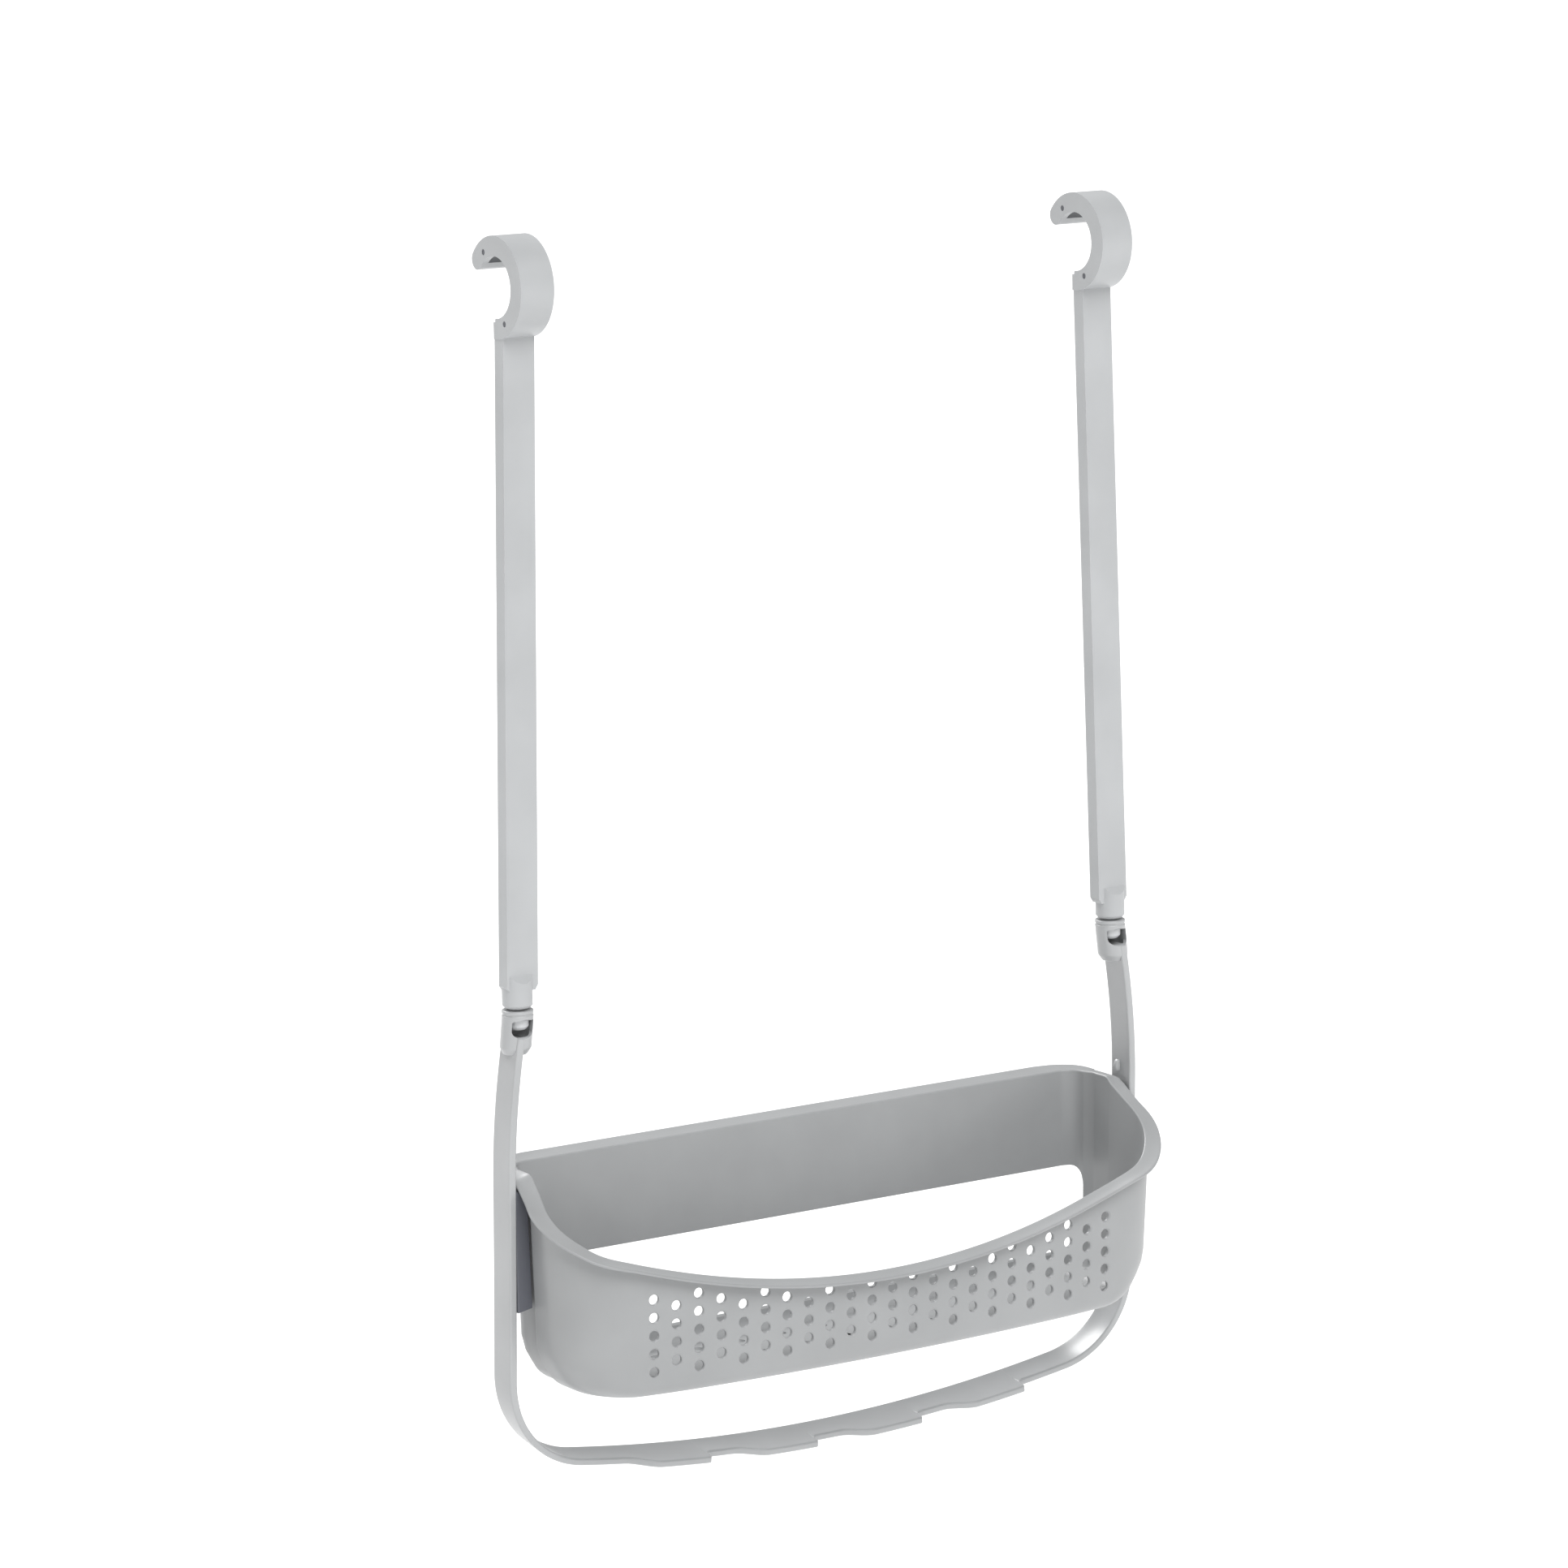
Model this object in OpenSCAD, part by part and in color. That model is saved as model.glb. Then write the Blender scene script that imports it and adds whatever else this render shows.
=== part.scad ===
// Hanging shower basket: a perforated basket carried by a U-shaped bail, which hangs
// from a rail on two swivelling hook arms.
// +X right, +Y back, +Z up. Origin: on the rail axis, midway between the two hooks.

/* [Hooks and arms] */
// Inner radius of the hooks, for rails up to 25 mm across
hook_r = 13.3; // [11:0.1:14]
// Wall thickness of the hooks
hook_wall = 8.7; // [8.3:0.1:10]
// Width of the hooks along the rail
hook_w = 16.4; // [15.6:0.1:20]
// Distance from the middle of the object to the middle of each hook
hook_x = 151; // [149:0.5:156]
// Angle of the hook tip above the horizontal
hook_tip_angle = 38; // [20:1:50]
// Width of the arm straps
arm_w = 15.5; // [13:0.1:15.5]
// Thickness of the arm straps
arm_t = 7; // [6:0.1:8]
// Thickness of the soft liner inside each hook
liner_t = 1.2; // [0.8:0.1:1.6]
// Width of the soft liner
liner_w = 11; // [8:0.5:12]
// Radius of the dowels that anchor the liner
dowel_r = 1.3; // [1:0.1:1.5]

/* [Swivels] */
// Distance from the middle of the object to each swivel axis
swivel_x = 158.2; // [156:0.1:160]
// Depth of the swivel gap below the rail axis
swivel_drop = 311.5; // [290:0.5:325]
// Radius of the round boss at the foot of each arm
boss_r = 6.7; // [6:0.1:7]
// Radius of the collar on top of each side strip
collar_r = 7.3; // [7:0.1:7.6]
// Height of the collar
collar_h = 16; // [15:0.5:18]
// Radius of the swivel pin
pin_r = 3.2; // [2.8:0.1:3.4]

/* [Bail] */
// Half of the greatest width across the bail
bail_x = 168; // [167.5:0.1:171]
// Depth of the side strips and the bottom bar
strip_w = 14.5; // [13:0.1:16]
// Thickness of the side strips and the bottom bar
strip_t = 3.6; // [3:0.1:4]
// How far the front edge of the bottom bar droops
bar_droop = 2.4; // [0:0.1:3]
// How far the bottom bar lies behind the swivels
bar_back = 7.6; // [0:0.1:9]
// Depth of the middle of the bottom bar below the rail axis
bar_drop = 529.5; // [520:0.5:540]
// How far each side strip leans in at the collar
strip_lean = 5.5; // [4.5:0.1:6.5]
// Outer radius of the bottom corners
corner_r = 44; // [36:0.5:48]
// Radius of the sagging bottom bar
bar_sag_r = 820; // [700:1:1000]
// Spacing of the hanging lobes on the bottom bar
lobe_pitch = 57; // [52:0.5:60]
// How far the lobes stand out of the bar
lobe_out = 6; // [4:0.1:7]

/* [Basket] */
// Half of the width across the side walls
basket_x = 158.5; // [157:0.1:159]
// Outer face of the back wall
back_y = 21.5; // [20:0.5:24]
// Outer face of the front wall in the middle
front_y = -55.6; // [-62:0.1:-52]
// Depth of the level rim below the rail axis
rim_drop = 385.4; // [384:0.1:388]
// Height of the basket from floor to level rim
basket_h = 97; // [96:0.5:100]
// Wall thickness
wall_t = 2; // [1.6:0.1:2.4]
// Radius of the front corners
front_corner_r = 30; // [26:0.5:34]
// Width of the rim flange beyond the front and side walls
rim_out = 4.5; // [3:0.1:4.8]
// Width of the rim flange beyond the back wall
rim_back = 11; // [5:0.5:12]
// Height of the rim flange
rim_h = 3; // [2:0.1:4]
// How much the walls draw in from the rim to the floor
draft = 2.2; // [0:0.1:3]
// Diameter of the round holes in the front wall
hole_d = 4.6; // [4:0.1:6]
// Spacing of the hole columns along the wall
column_pitch = 11; // [10.8:0.1:11]
// Spacing of the holes in a column
row_pitch = 8.2; // [7.5:0.1:8.4]

/* [Hidden] */
$fn = 48;

LEFT = -1;
RIGHT = 1;
plastic = [0.68, 0.69, 0.71];
dark_plastic = [0.36, 0.37, 0.40];
soft_plastic = [0.30, 0.31, 0.33];
bright = [0.78, 0.79, 0.80];
mid_y = -2;                       // plane of the arms, swivels and bail
slack = 0.05;                     // running clearance of the swivel pins
gap = 1;                          // height of the swivel gap

// Hooks and arms
hook_mid_r = hook_r + hook_wall / 2;
dowel_circle_r = 16.8;
dowel_angles = [59, 243.6];       // seen along -X, from +Y towards +Z
liner_lug_r = 2.7;
liner_lug_w = 6;
shoulder_z = -swivel_drop + 10;   // where the strap starts to narrow to the boss
shoulder_in = 0.8;                // how far the foot of the strap stands inside the swivel axis
boss_bottom = -swivel_drop + gap / 2;
boss_top = boss_bottom + 18;
ledge_angle = 45;                 // slant of the boss's top
press_depth = 12;                 // how far the swivel pin is pressed into the boss

// Swivels
collar_top = -swivel_drop - gap / 2;
collar_bottom = collar_top - collar_h;
neck_h = 3.2;                     // collar roof that the pin head hangs on
window_w = 9;
window_h = 8.4;
window_top = collar_top - neck_h;
head_r = 4.7;
head_h = 4;
cavity_r = 5.4;
cavity_h = 9.6;

// Bail
bar_centre_z = -bar_drop + bar_sag_r;
corner_x = bail_x - corner_r;
corner_z = bar_centre_z - sqrt(pow(bar_sag_r - corner_r, 2) - pow(corner_x, 2));
corner_end = atan2(corner_z - bar_centre_z, corner_x);   // where the corner meets the bar
strip_top = collar_bottom + 3;
lean_z = -rim_drop - rim_h;       // above this the side strips lean in
back_slope = bar_back / (bar_drop + collar_top);
strip_front = mid_y - strip_w / 2;
strip_back = mid_y + strip_w / 2;
lobe_count = 4;
lobe_len = 42;
lobe_rise = 16;                   // length of each lobe's slanting end
lobe_start = 5 - lobe_count * lobe_pitch / 2;
lug_out = 2.4;
lug_size = [lug_out + 1, 3, 5.5];

// Basket
rim_z = -rim_drop;
floor_z = rim_z - basket_h;
floor_t = 2.2;
foot_h = 7;                       // height of the sloping edge round the floor
foot_in = 6;
kink_y = -0.5;                    // in front of this the rim slopes down
rim_slope = 0.72;
dip_r = 411;                      // radius of the dip along the front rim
dip_z = -441.6;
dip_y = -43;                      // the dip is cut in front of this
front_cx = basket_x - front_corner_r;
front_cy = -18;
front_d = front_cy - front_y;
front_r = (pow(front_cx, 2) + pow(front_d, 2) - pow(front_corner_r, 2))
          / (2 * (front_d - front_corner_r));
front_c = front_y + front_r;      // centre of the front wall's curve
front_end = asin(front_cx / (front_r - front_corner_r));
column_step = column_pitch / front_r * 180 / PI;
side_in = 4;                      // how far the side walls turn in behind the strips
side_bend_y = 4.5;
back_corner_r = 11;
back_cx = basket_x - side_in - back_corner_r;
rim_corner_r = 12;
flare = 2.6;                      // how much wider the rim is in front of the strips
hole_z = -470.6;                  // lowest hole centres
// Holes in each column, from the middle column outwards
column_counts = [3, 4, 3, 4, 3, 4, 4, 4, 4, 5, 4, 5];
window_z = [-471, -430.5];        // the back window, open right round both back corners
window_corner_r = 8;
bracket_top = rim_z - rim_h - 3.6;
bracket_h = 53.9;
bracket_y = [-6.5, 5.8];
key_w = 3;
key_t = 1.2;

// Half of the bail's outer width at height z on a side strip
function strip_x(z) = bail_x - strip_lean * pow(max(0, z - lean_z) / (strip_top - lean_z), 2);

// How far the bail lies behind the swivels at height z
function bail_back(z) = back_slope * (collar_top - z);

// Points on an arc
function arc(c, r, from, to, steps) =
    [for (i = [0:steps]) let(a = from + (to - from) * i / steps) c + r * [cos(a), sin(a)]];

function mirrored(points) = [for (i = [len(points) - 1:-1:0]) [-points[i][0], points[i][1]]];

// Right half of the bail's outline, moved inwards by t, from the top to near the middle
function bail_side(t) = concat(
    [for (i = [0:8]) let(z = strip_top - (strip_top - lean_z) * i / 8) [strip_x(z) - t, z]],
    arc([corner_x, corner_z], corner_r - t, 0, corner_end, 12),
    [for (i = [1:14]) let(a = corner_end + (-90 - corner_end) * (i - 0.5) / 14)
        [0, bar_centre_z] + (bar_sag_r - t) * [cos(a), sin(a)]]);

// Right half of the basket's front, moved outwards by o and widened by f
function front_side(o, f = 0) = concat(
    [for (i = [0:11]) let(a = -90 + column_step * (i + 0.5))
        [0, front_c] + (front_r + o) * [cos(a), sin(a)] + [f * i / 11, 0]],
    arc([front_cx + f, front_cy], front_corner_r + o, -90 + front_end, 0, 12));

// Right half of the basket's walls, moved outwards by o, from the middle of the front
function wall_side(o) = concat(
    front_side(o),
    [[basket_x + o, side_bend_y]],
    arc([back_cx, back_y - back_corner_r], back_corner_r + o, 10, 90, 6));

// Right half of the rim flange's outer edge
function rim_side() = concat(
    front_side(rim_out, flare),
    [for (i = [1:4]) [basket_x + rim_out + flare * (1 + cos(45 * i)) / 2, front_cy + 1.7 * i]],
    arc([basket_x - rim_corner_r, back_y + rim_back - rim_corner_r], rim_corner_r, 0, 90, 6));

module both_sides_outline(points) {
    polygon(concat(points, mirrored(points)));
}

// Extrudes a drawing of the YZ plane along X
module along_x(from, to) {
    translate([from, 0, 0]) rotate([90, 0, 90]) linear_extrude(to - from) children();
}

// Extrudes a drawing of the XZ plane along Y
module along_y(from, to) {
    translate([0, to, 0]) rotate([90, 0, 0]) linear_extrude(to - from) children();
}

// ---------- hooks and arms ----------

module hook_outline() {
    difference() {
        circle(r = hook_r + hook_wall, $fn = 96);
        circle(r = hook_r, $fn = 96);
        // the mouth, open to the back
        polygon([[0, 0], 60 * [cos(hook_tip_angle), sin(hook_tip_angle)], [60, -60],
                 [mid_y + arm_t / 2, -60], [mid_y + arm_t / 2, -hook_r - 1.5], [0, -hook_r - 1.5]]);
    }
    translate(hook_mid_r * [cos(hook_tip_angle), sin(hook_tip_angle)]) circle(r = hook_wall / 2);
}

module strap_outline(side) {
    top = [side * hook_x, -hook_r - 1.7];
    foot = [side * (swivel_x - shoulder_in), shoulder_z];
    w = arm_w / 2;
    polygon([top + [-w, 0], top + [w, 0], foot + [w, 0], foot + [w - 1.4, -2.2],
             foot + [1.4 - w, -2.2], foot + [-w, 0]]);
}

module liner_sector() {
    difference() {
        circle(r = hook_r + liner_t, $fn = 96);
        circle(r = hook_r, $fn = 96);
        polygon([[0, 0], 40 * [cos(hook_tip_angle + 8), sin(hook_tip_angle + 8)],
                 [40, -40], [-8, -40]]);
    }
}

module liner_lugs() {
    for (a = dowel_angles)
        rotate(a) {
            translate([dowel_circle_r, 0]) circle(r = liner_lug_r);
            translate([hook_r + 0.3, -liner_lug_r])
                square([dowel_circle_r - hook_r - 0.3, 2 * liner_lug_r]);
        }
}

module liner_shape(side) {
    x = side * hook_x;
    difference() {
        union() {
            along_x(x - liner_w / 2, x + liner_w / 2) liner_sector();
            along_x(x - liner_lug_w / 2, x + liner_lug_w / 2) liner_lugs();
        }
        // the lugs keep clear of the rail
        translate([x, 0, 0]) rotate([0, 90, 0]) cylinder(r = hook_r, h = 40, center = true, $fn = 96);
    }
}

module dowel_rods(side, w) {
    for (a = dowel_angles)
        translate([side * hook_x, dowel_circle_r * cos(a), dowel_circle_r * sin(a)])
            rotate([0, 90, 0]) cylinder(r = dowel_r, h = w, center = true);
}

module boss(side) {
    translate([side * swivel_x, mid_y, 0]) {
        difference() {
            translate([0, 0, boss_bottom + 1.2]) cylinder(r = boss_r, h = boss_top - boss_bottom - 1.2);
            // the slanting ledge on top
            translate([-20, 0, boss_top]) rotate([ledge_angle, 0, 0]) translate([0, -20, 0]) cube([40, 40, 20]);
        }
        translate([0, 0, boss_bottom]) cylinder(r1 = boss_r - 1, r2 = boss_r, h = 1.2);
    }
}

module hook_arm(side) {
    x = side * hook_x;
    color(plastic) difference() {
        union() {
            along_x(x - hook_w / 2, x + hook_w / 2) hook_outline();
            along_y(mid_y - arm_t / 2, mid_y + arm_t / 2) strap_outline(side);
            boss(side);
        }
        translate([side * swivel_x, mid_y, boss_bottom - 1]) cylinder(r = pin_r, h = press_depth + 1);
        liner_shape(side);
        dowel_rods(side, hook_w + 2);
    }
}

module hook_liner(side) {
    color(soft_plastic) difference() {
        liner_shape(side);
        dowel_rods(side, hook_w + 2);
    }
}

module liner_dowels(side) {
    color(dark_plastic) dowel_rods(side, hook_w - 0.6);
}

module swivel_pin(side) {
    color(bright) translate([side * swivel_x, mid_y, 0]) {
        translate([0, 0, window_top - 0.2]) cylinder(r = pin_r, h = boss_bottom + press_depth - window_top + 0.2);
        translate([0, 0, window_top - 0.1 - head_h]) cylinder(r = head_r, h = head_h);
        translate([0, 0, window_top - 0.1 - head_h - 1.5]) cylinder(r1 = head_r - 1.4, r2 = head_r, h = 1.5);
    }
}

// ---------- bail ----------

function lobe_points(x) = concat(
    [for (i = [0:8]) [x + lobe_rise * i / 8, strip_front - lobe_out * (1 - cos(22.5 * i)) / 2]],
    [[x + lobe_len - 1.4, strip_front - lobe_out], [x + lobe_len, strip_front - lobe_out + 0.8]],
    [for (p = arc([x + lobe_len + 3, strip_front - 3], 3, 180, 90, 5)) p]);

module bail_plan() {
    polygon(concat(
        [[-bail_x - 5, strip_back], [-bail_x - 5, strip_front]],
        [for (k = [0:lobe_count - 1]) each lobe_points(lobe_start + k * lobe_pitch)],
        [[bail_x + 5, strip_front], [bail_x + 5, strip_back]]));
}

module bail_strip() {
    outer = bail_side(0);
    inner = bail_side(strip_t);
    droop = bar_droop / strip_w;
    multmatrix([[1, 0, 0, 0], [0, 1, -back_slope, back_slope * collar_top], [0, 0, 1, 0], [0, 0, 0, 1]])
        intersection() {
            multmatrix([[1, 0, 0, 0], [0, 1, 0, 0], [0, droop, 1, -droop * strip_back], [0, 0, 0, 1]])
                along_y(strip_front - lobe_out - 1, strip_back)
                    polygon(concat(outer, mirrored(outer),
                                   [for (i = [0:len(inner) - 1]) [-inner[i][0], inner[i][1]]],
                                   [for (i = [len(inner) - 1:-1:0]) inner[i]]));
            translate([0, 0, -600]) linear_extrude(400) bail_plan();
        }
}

module collar_body() {
    translate([0, 0, collar_bottom]) cylinder(r = collar_r, h = collar_h - 1);
    translate([0, 0, collar_top - 1]) cylinder(r1 = collar_r, r2 = collar_r - 0.7, h = 1);
    translate([0, 0, collar_bottom - 3]) cylinder(r1 = 4.6, r2 = collar_r, h = 3);
}

// Opens to the front, square on top and round at the foot
module collar_window() {
    foot = window_top - window_h + window_w / 2;
    along_y(-20, 0)
        polygon(concat([[window_w / 2, window_top], [-window_w / 2, window_top]],
                       arc([0, foot], window_w / 2, 180, 360, 12)));
    translate([0, 0, window_top - cavity_h]) cylinder(r = cavity_r, h = cavity_h);
}

// Tongue on the inner face of a strip, held in the bracket
module strip_tongue(side) {
    y = mid_y + bail_back(bracket_top - bracket_h / 2);
    along_y(y - key_w / 2, y + key_w / 2)
        polygon([for (p = concat(bracket_edge(0.5, 4), [for (q = mirrored(bracket_edge(-key_t, 4))) [-q[0], q[1]]]))
                 [side * p[0], p[1]]]);
}

module bail_frame() {
    color(plastic) union() {
        difference() {
            union() {
                bail_strip();
                for (side = [LEFT, RIGHT])
                    translate([side * swivel_x, mid_y, 0]) collar_body();
            }
            for (side = [LEFT, RIGHT])
                translate([side * swivel_x, mid_y, 0]) {
                    collar_window();
                    translate([0, 0, window_top - 1]) cylinder(r = pin_r + slack, h = neck_h + 2);
                }
        }
        for (side = [LEFT, RIGHT]) {
            strip_tongue(side);
            snap_lug(side);
        }
    }
}

// Small lug that stops the rim from riding up the strip
module snap_lug(side) {
    z = rim_z + 2.2;
    x = strip_x(z) - strip_t - lug_out;
    y = mid_y + bail_back(z);
    translate([side > 0 ? x : -x - lug_size[0], y - lug_size[1] / 2, z]) cube(lug_size);
}

// ---------- brackets ----------

// Right strip's inner face beside the bracket, moved outwards by o, top to bottom
function bracket_edge(o, cut = 0) =
    [for (i = [0:4]) let(z = bracket_top - cut - (bracket_h - 2 * cut) * i / 4)
        [strip_x(z) - strip_t + o, z]];

module side_bracket(side) {
    edge = bracket_edge(0);
    color(dark_plastic) difference() {
        along_y(bracket_y[0], bracket_y[1])
            polygon([for (p = concat(edge, [[wall_x(bracket_top - bracket_h + 1.5), bracket_top - bracket_h + 1.5],
                                            [wall_x(bracket_top), bracket_top]])) [side * p[0], p[1]]]);
        strip_tongue(side);
        wall_key(side);
    }
}

// Outer face of a side wall at height z
function wall_x(z) = basket_x - draft * (rim_z - z) / (basket_h - foot_h);

// Rib on the basket's side wall, held in the bracket
module wall_key(side) {
    x = wall_x(bracket_top - bracket_h) - 0.5;
    w = basket_x + key_t - x - 0.6;
    translate([side > 0 ? x : -x - w, mid_y - key_w / 2, bracket_top - bracket_h + 6])
        cube([w, key_w, bracket_h - 12]);
}

// ---------- basket ----------

// Everything below the rim's top surface, lowered by drop
module below_rim(drop) {
    z = rim_z - drop;
    front = -80;
    difference() {
        along_x(-200, 200)
            polygon([[60, z], [kink_y, z], [kink_y - 4, z - 0.5 * 4 * rim_slope],
                     [front, z + (front - kink_y + 2) * rim_slope], [front, floor_z - 10],
                     [60, floor_z - 10]]);
        translate([0, dip_y, dip_z - drop + dip_r]) rotate([90, 0, 0]) cylinder(r = dip_r, h = 60, $fn = 180);
    }
}

// Solid that the walls and floor enclose, moved outwards by o
module shell(o) {
    hull() {
        wall_slice(o, rim_z);
        wall_slice(o - draft, floor_z + foot_h);
        wall_slice(o - draft - foot_in, o < 0 ? floor_z + floor_t : floor_z);
    }
}

module wall_slice(o, z) {
    translate([0, 0, z]) linear_extrude(0.02) both_sides_outline(wall_side(o));
}

module rim() {
    intersection() {
        translate([0, 0, floor_z]) linear_extrude(basket_h + 20) difference() {
            both_sides_outline(rim_side());
            both_sides_outline(wall_side(-wall_t));
        }
        difference() {
            below_rim(0);
            below_rim(rim_h);
        }
    }
}

module front_holes() {
    for (c = [-11:11]) {
        n = column_counts[abs(c)];
        lowest = hole_z + (c % 2 == 0 ? row_pitch / 2 : 0);
        translate([0, front_c, 0]) rotate([0, 0, column_step * c]) translate([0, -front_r, 0])
            for (k = [0:n - 1])
                translate([0, 6, lowest + k * row_pitch]) rotate([90, 0, 0]) cylinder(d = hole_d, h = 12, $fn = 24);
    }
}

// Cuts the back wall and both back corners, with rounded ends on the side walls
module back_window() {
    z = (window_z[0] + window_z[1]) / 2;
    h = window_z[1] - window_z[0];
    c = window_corner_r;
    front = back_y - back_corner_r;
    along_x(-basket_x - 5, basket_x + 5) translate([0, z]) {
        translate([front + c, -h / 2]) square([40, h]);
        translate([front, c - h / 2]) square([c + 1, h - 2 * c]);
        for (side = [-1, 1]) translate([front + c, side * (h / 2 - c)]) circle(r = c);
    }
}

module drain_holes() {
    for (x = [-110:22:110], y = [-36:20:4])
        translate([x, y, floor_z - 1]) cylinder(d = 5, h = 6, $fn = 24);
}

module basket() {
    color(plastic) union() {
        difference() {
            intersection() {
                shell(0);
                below_rim(0.5);
            }
            shell(-wall_t);
            front_holes();
            back_window();
            drain_holes();
        }
        rim();
        for (side = [LEFT, RIGHT]) wall_key(side);
    }
}

basket();
bail_frame();
side_bracket(LEFT);  // side_bracket_left
side_bracket(RIGHT);  // side_bracket_right
hook_arm(LEFT);  // hook_arm_left
hook_arm(RIGHT);  // hook_arm_right
swivel_pin(LEFT);  // swivel_pin_left
swivel_pin(RIGHT);  // swivel_pin_right
hook_liner(LEFT);  // hook_liner_left
hook_liner(RIGHT);  // hook_liner_right
liner_dowels(LEFT);  // liner_dowels_left
liner_dowels(RIGHT);  // liner_dowels_right
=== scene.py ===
import math

import bmesh
import bpy
from mathutils import Matrix, Vector


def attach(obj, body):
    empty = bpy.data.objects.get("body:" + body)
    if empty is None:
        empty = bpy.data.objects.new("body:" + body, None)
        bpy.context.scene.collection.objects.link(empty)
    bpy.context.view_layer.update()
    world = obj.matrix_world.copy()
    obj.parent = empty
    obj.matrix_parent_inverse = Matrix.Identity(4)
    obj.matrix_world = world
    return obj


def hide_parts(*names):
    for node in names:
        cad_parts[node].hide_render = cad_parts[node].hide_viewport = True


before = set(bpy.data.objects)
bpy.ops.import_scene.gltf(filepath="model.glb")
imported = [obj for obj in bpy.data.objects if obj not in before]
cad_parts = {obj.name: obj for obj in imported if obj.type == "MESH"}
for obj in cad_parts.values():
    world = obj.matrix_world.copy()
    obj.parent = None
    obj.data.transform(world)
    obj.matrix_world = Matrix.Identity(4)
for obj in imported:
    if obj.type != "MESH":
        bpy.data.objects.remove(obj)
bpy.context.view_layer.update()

MM = 0.001
LEFT, RIGHT = -1, 1
SIDES = ((LEFT, "left"), (RIGHT, "right"))

# ---------- shared sizes, in millimetres ----------
# The origin is on the hooks' axis, midway between them: +X right, +Y back, +Z up.

SWIVEL_X = 158.2       # from the middle to each swivel's axis
MID_Y = -2.0           # depth of the swivels' axes and of the strips' middle
COLLAR_TOP = -312.0
BAIL_X = 168.0         # outer faces of the strips
STRIP_W = 14.5
STRIP_T = 3.6
CORNER_R = 44.0        # bend between a strip and the bottom bar
BAR_Z = -529.5
SAG_R = 820.0          # radius of the bottom bar's sag
LEAN = 5.5             # how far the strips' tops lean inwards
STRIP_TOP = -325.0
BASKET_X = 158.5       # half the basket's width below the rim
BACK_Y = 21.5
FRONT_Y = -55.6
RIM_Z = -385.4
FLOOR_Z = -482.4
WALL_T = 2.0
DRAFT = 2.2            # how far the walls draw in from the rim to the foot
FOOT_H = 7.0           # height and depth of the rounded foot
FOOT_IN = 6.0
SIDE_FOOT_H = 21.0     # the side walls draw in further, over a greater height
SIDE_FOOT_IN = 11.0
CORNER_Y = -18.0       # where the front corners begin
FRONT_CORNER_R = 30.0
# The front wall is one arc that meets both corners smoothly.
FRONT_CX = BASKET_X - FRONT_CORNER_R
FRONT_D = CORNER_Y - FRONT_Y
FRONT_R = (FRONT_CX ** 2 + FRONT_D ** 2 - FRONT_CORNER_R ** 2) / (2 * (FRONT_D - FRONT_CORNER_R))
FRONT_C = FRONT_Y + FRONT_R
FRONT_END = math.asin(FRONT_CX / (FRONT_R - FRONT_CORNER_R))
HOLE_PITCH = 11.0
COLUMN_STEP = HOLE_PITCH / FRONT_R


def clamp(t):
    return min(1.0, max(0.0, t))


def smooth(t):
    """0 below 0, 1 above 1, and an S-curve between."""
    t = clamp(t)
    return t * t * (3 - 2 * t)


def height_share(z):
    """0 at the rim and 1 at the top of the foot."""
    return (RIM_Z - z) / (RIM_Z - FLOOR_Z - FOOT_H)


# ---------- materials ----------

MOTTLE_SCALE, GLOSS_SCALE, GRAIN_SCALE = 28.0, 90.0, 2600.0
GRAIN_DEPTH = 0.0004
PLASTIC_IOR = 1.5
COAT_ROUGHNESS = 0.3


def plastic(name, colour, roughness, grain=0.03, mottle=0.04, coat=0.0):
    """Moulded plastic: faint flow mottle in the colour, uneven gloss and a fine moulded grain."""
    mat = bpy.data.materials.new(name)
    mat.use_nodes = True
    nodes, links = mat.node_tree.nodes, mat.node_tree.links
    shader = nodes["Principled BSDF"]
    coords = nodes.new("ShaderNodeTexCoord")

    def noise(scale, detail):
        n = nodes.new("ShaderNodeTexNoise")
        n.inputs["Scale"].default_value = scale
        n.inputs["Detail"].default_value = detail
        links.new(coords.outputs["Object"], n.inputs["Vector"])
        return n.outputs["Fac"]

    def ramp(source, low, high, colours):
        r = nodes.new("ShaderNodeValToRGB")
        for e, p, c in zip(r.color_ramp.elements, (low, high), colours):
            e.position = p
            e.color = (*c, 1)
        links.new(source, r.inputs["Fac"])
        return r.outputs["Color"]

    dark = tuple(c * (1 - mottle) for c in colour)
    light = tuple(c * (1 + mottle) for c in colour)
    links.new(ramp(noise(MOTTLE_SCALE, 3.0), 0.32, 0.68, (dark, light)), shader.inputs["Base Color"])
    lo, hi = roughness - 0.02, roughness + 0.03
    links.new(ramp(noise(GLOSS_SCALE, 3.0), 0.2, 0.8, ((lo,) * 3, (hi,) * 3)), shader.inputs["Roughness"])
    bump = nodes.new("ShaderNodeBump")
    bump.inputs["Strength"].default_value = grain
    bump.inputs["Distance"].default_value = GRAIN_DEPTH
    links.new(noise(GRAIN_SCALE, 2.0), bump.inputs["Height"])
    links.new(bump.outputs["Normal"], shader.inputs["Normal"])
    shader.inputs["IOR"].default_value = PLASTIC_IOR
    shader.inputs["Coat Weight"].default_value = coat
    shader.inputs["Coat Roughness"].default_value = COAT_ROUGHNESS
    return mat


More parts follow.
